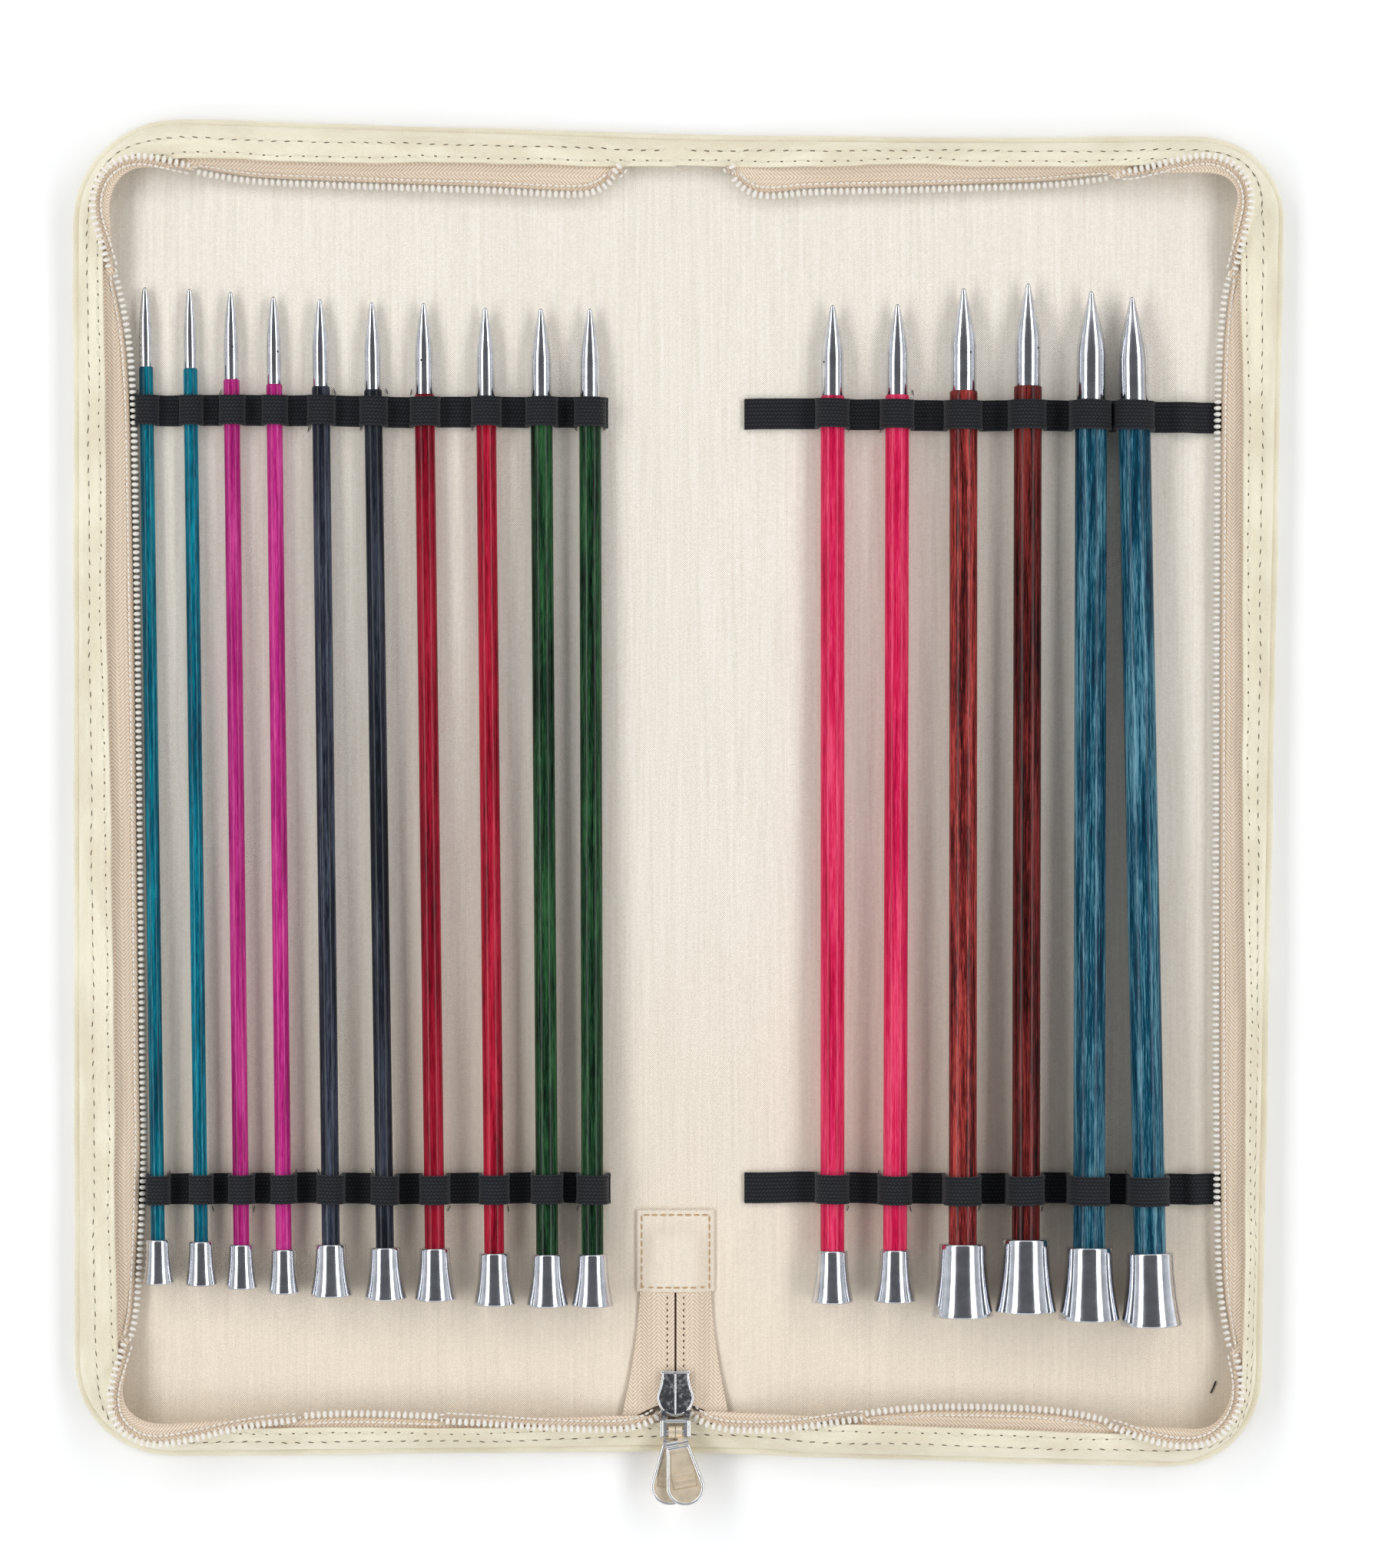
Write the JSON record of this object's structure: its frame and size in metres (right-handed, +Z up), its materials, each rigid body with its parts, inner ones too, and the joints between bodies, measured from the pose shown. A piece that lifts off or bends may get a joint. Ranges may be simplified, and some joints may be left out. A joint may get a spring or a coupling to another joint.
{
  "type": "straight knitting needle set",
  "caption": "Open zip case in cream fabric holding pairs of straight, single-pointed knitting needles with dyed wooden shafts, metal points and bell-shaped metal stoppers.",
  "frame": {"origin": "centre of the spine's underside, on the surface that the open case lies on", "axes": "+Z up; +Y along the spine towards the needle points; +X to the right half, which holds the thicker needles"},
  "size_m": [0.304, 0.3455, 0.0187],
  "materials": {
    "outer_twill": "matt cotton twill",
    "lining_satin": "satin sheen",
    "stiffening_board": "grey board, never seen",
    "zip_tape": "woven herringbone",
    "zip_coil": "translucent nylon",
    "elastic": "matt braided elastic",
    "zip_metal": "dark nickel plating",
    "pull_metal": "pale nickel plating",
    "polished_metal": "polished plating",
    "wood_teal": "dyed and lacquered laminated wood",
    "wood_fuchsia": "dyed and lacquered laminated wood",
    "wood_ink": "dyed and lacquered laminated wood",
    "wood_crimson": "dyed and lacquered laminated wood",
    "wood_green": "dyed and lacquered laminated wood",
    "wood_pink_red": "dyed and lacquered laminated wood",
    "wood_mahogany": "dyed and lacquered laminated wood",
    "wood_petrol": "dyed and lacquered laminated wood"
  },
  "bodies": {
    "spine": {"spine_cover": "outer_twill", "spine_lining": "lining_satin", "spine_end_bands": "outer_twill", "zip_tail_tapes": "zip_tape", "zip_tail_coil": "zip_coil", "zip_tail_patch": "lining_satin", "zip_throat_coils": "zip_coil"},
    "left_half": {"cover_left": "outer_twill", "board_left": "stiffening_board", "lining_left": "lining_satin", "wall_left": "outer_twill", "zip_tape_left": "zip_tape", "zip_coil_left": "zip_coil", "elastic_band_upper_left": "elastic", "elastic_band_lower_left": "elastic"},
    "right_half": {"cover_right": "outer_twill", "board_right": "stiffening_board", "lining_right": "lining_satin", "wall_right": "outer_twill", "zip_tape_right": "zip_tape", "zip_coil_right": "zip_coil", "elastic_band_upper_right": "elastic", "elastic_band_lower_right": "elastic"},
    "slider": {"zip_slider": "zip_metal"},
    "pull_front": {"zip_pull_front": "pull_metal"},
    "pull_rear": {"zip_pull_rear": "pull_metal"},
    "needle_3_5mm_a": {"needle_3_5mm_a_shaft": "wood_teal", "needle_3_5mm_a_tip_and_stopper": "polished_metal"},
    "needle_3_5mm_b": {"needle_3_5mm_b_shaft": "wood_teal", "needle_3_5mm_b_tip_and_stopper": "polished_metal"},
    "needle_4_0mm_a": {"needle_4_0mm_a_shaft": "wood_fuchsia", "needle_4_0mm_a_tip_and_stopper": "polished_metal"},
    "needle_4_0mm_b": {"needle_4_0mm_b_shaft": "wood_fuchsia", "needle_4_0mm_b_tip_and_stopper": "polished_metal"},
    "needle_4_5mm_a": {"needle_4_5mm_a_shaft": "wood_ink", "needle_4_5mm_a_tip_and_stopper": "polished_metal"},
    "needle_4_5mm_b": {"needle_4_5mm_b_shaft": "wood_ink", "needle_4_5mm_b_tip_and_stopper": "polished_metal"},
    "needle_5_0mm_a": {"needle_5_0mm_a_shaft": "wood_crimson", "needle_5_0mm_a_tip_and_stopper": "polished_metal"},
    "needle_5_0mm_b": {"needle_5_0mm_b_shaft": "wood_crimson", "needle_5_0mm_b_tip_and_stopper": "polished_metal"},
    "needle_5_5mm_a": {"needle_5_5mm_a_shaft": "wood_green", "needle_5_5mm_a_tip_and_stopper": "polished_metal"},
    "needle_5_5mm_b": {"needle_5_5mm_b_shaft": "wood_green", "needle_5_5mm_b_tip_and_stopper": "polished_metal"},
    "needle_6_0mm_a": {"needle_6_0mm_a_shaft": "wood_pink_red", "needle_6_0mm_a_tip_and_stopper": "polished_metal"},
    "needle_6_0mm_b": {"needle_6_0mm_b_shaft": "wood_pink_red", "needle_6_0mm_b_tip_and_stopper": "polished_metal"},
    "needle_7_0mm_a": {"needle_7_0mm_a_shaft": "wood_mahogany", "needle_7_0mm_a_tip_and_stopper": "polished_metal"},
    "needle_7_0mm_b": {"needle_7_0mm_b_shaft": "wood_mahogany", "needle_7_0mm_b_tip_and_stopper": "polished_metal"},
    "needle_8_0mm_a": {"needle_8_0mm_a_shaft": "wood_petrol", "needle_8_0mm_a_tip_and_stopper": "polished_metal"},
    "needle_8_0mm_b": {"needle_8_0mm_b_shaft": "wood_petrol", "needle_8_0mm_b_tip_and_stopper": "polished_metal"}
  },
  "joints": [
    {"name": "fold_left", "type": "hinge", "parent": "spine", "child": "left_half", "pos_m": [-0.016, 0, 0.003], "axis": [0, 1, 0], "range_deg": [0, 90]},
    {"name": "fold_right", "type": "hinge", "parent": "spine", "child": "right_half", "pos_m": [0.016, 0, 0.003], "axis": [0, -1, 0], "range_deg": [0, 90]},
    {"name": "slider_slide", "type": "slide", "parent": "spine", "child": "slider", "axis": [0, 1, 0], "range_m": [0, 0.018]},
    {"name": "pull_front_hinge", "type": "hinge", "parent": "slider", "child": "pull_front", "pos_m": [0, -0.1592, 0.008], "axis": [-1, 0, 0], "range_deg": [0, 110]},
    {"name": "pull_rear_hinge", "type": "hinge", "parent": "slider", "child": "pull_rear", "pos_m": [0, -0.1592, 0.008], "axis": [-1, 0, 0], "range_deg": [0, 66]},
    {"name": "needle_3_5mm_a_slide", "type": "slide", "parent": "left_half", "child": "needle_3_5mm_a", "axis": [-0.0148, 0.9998, -0.0103], "range_m": [-0.018, 0.007]},
    {"name": "needle_3_5mm_b_slide", "type": "slide", "parent": "left_half", "child": "needle_3_5mm_b", "axis": [-0.0133, 0.9999, -0.0103], "range_m": [-0.018, 0.007]},
    {"name": "needle_4_0mm_a_slide", "type": "slide", "parent": "left_half", "child": "needle_4_0mm_a", "axis": [-0.0122, 0.9999, -0.0091], "range_m": [-0.018, 0.007]},
    {"name": "needle_4_0mm_b_slide", "type": "slide", "parent": "left_half", "child": "needle_4_0mm_b", "axis": [-0.0117, 0.9999, -0.009], "range_m": [-0.018, 0.007]},
    {"name": "needle_4_5mm_a_slide", "type": "slide", "parent": "left_half", "child": "needle_4_5mm_a", "axis": [-0.0128, 0.9998, -0.0138], "range_m": [-0.018, 0.007]},
    {"name": "needle_4_5mm_b_slide", "type": "slide", "parent": "left_half", "child": "needle_4_5mm_b", "axis": [-0.0148, 0.9998, -0.0137], "range_m": [-0.018, 0.007]},
    {"name": "needle_5_0mm_a_slide", "type": "slide", "parent": "left_half", "child": "needle_5_0mm_a", "axis": [-0.0128, 0.9998, -0.0126], "range_m": [-0.018, 0.007]},
    {"name": "needle_5_0mm_b_slide", "type": "slide", "parent": "left_half", "child": "needle_5_0mm_b", "axis": [-0.0102, 0.9999, -0.0125], "range_m": [-0.018, 0.007]},
    {"name": "needle_5_5mm_a_slide", "type": "slide", "parent": "left_half", "child": "needle_5_5mm_a", "axis": [-0.0071, 0.9999, -0.0114], "range_m": [-0.018, 0.007]},
    {"name": "needle_5_5mm_b_slide", "type": "slide", "parent": "left_half", "child": "needle_5_5mm_b", "axis": [-0.0031, 0.9999, -0.0114], "range_m": [-0.018, 0.007]},
    {"name": "needle_6_0mm_a_slide", "type": "slide", "parent": "right_half", "child": "needle_6_0mm_a", "axis": [0.0005, 0.9999, -0.0103], "range_m": [-0.018, 0.007]},
    {"name": "needle_6_0mm_b_slide", "type": "slide", "parent": "right_half", "child": "needle_6_0mm_b", "axis": [0.0031, 0.9999, -0.0103], "range_m": [-0.018, 0.007]},
    {"name": "needle_7_0mm_a_slide", "type": "slide", "parent": "right_half", "child": "needle_7_0mm_a", "axis": [0.002, 0.9998, -0.0185], "range_m": [-0.018, 0.007]},
    {"name": "needle_7_0mm_b_slide", "type": "slide", "parent": "right_half", "child": "needle_7_0mm_b", "axis": [0.0036, 0.9998, -0.0186], "range_m": [-0.018, 0.007]},
    {"name": "needle_8_0mm_a_slide", "type": "slide", "parent": "right_half", "child": "needle_8_0mm_a", "axis": [0.0036, 0.9999, -0.0163], "range_m": [-0.018, 0.007]},
    {"name": "needle_8_0mm_b_slide", "type": "slide", "parent": "right_half", "child": "needle_8_0mm_b", "axis": [-0.0173, 0.9997, -0.0162], "range_m": [-0.018, 0.007]}
  ],
  "couplings": [
    {"joint": "pull_rear_hinge", "follows": "pull_front_hinge", "ratio": 0.6}
  ]
}
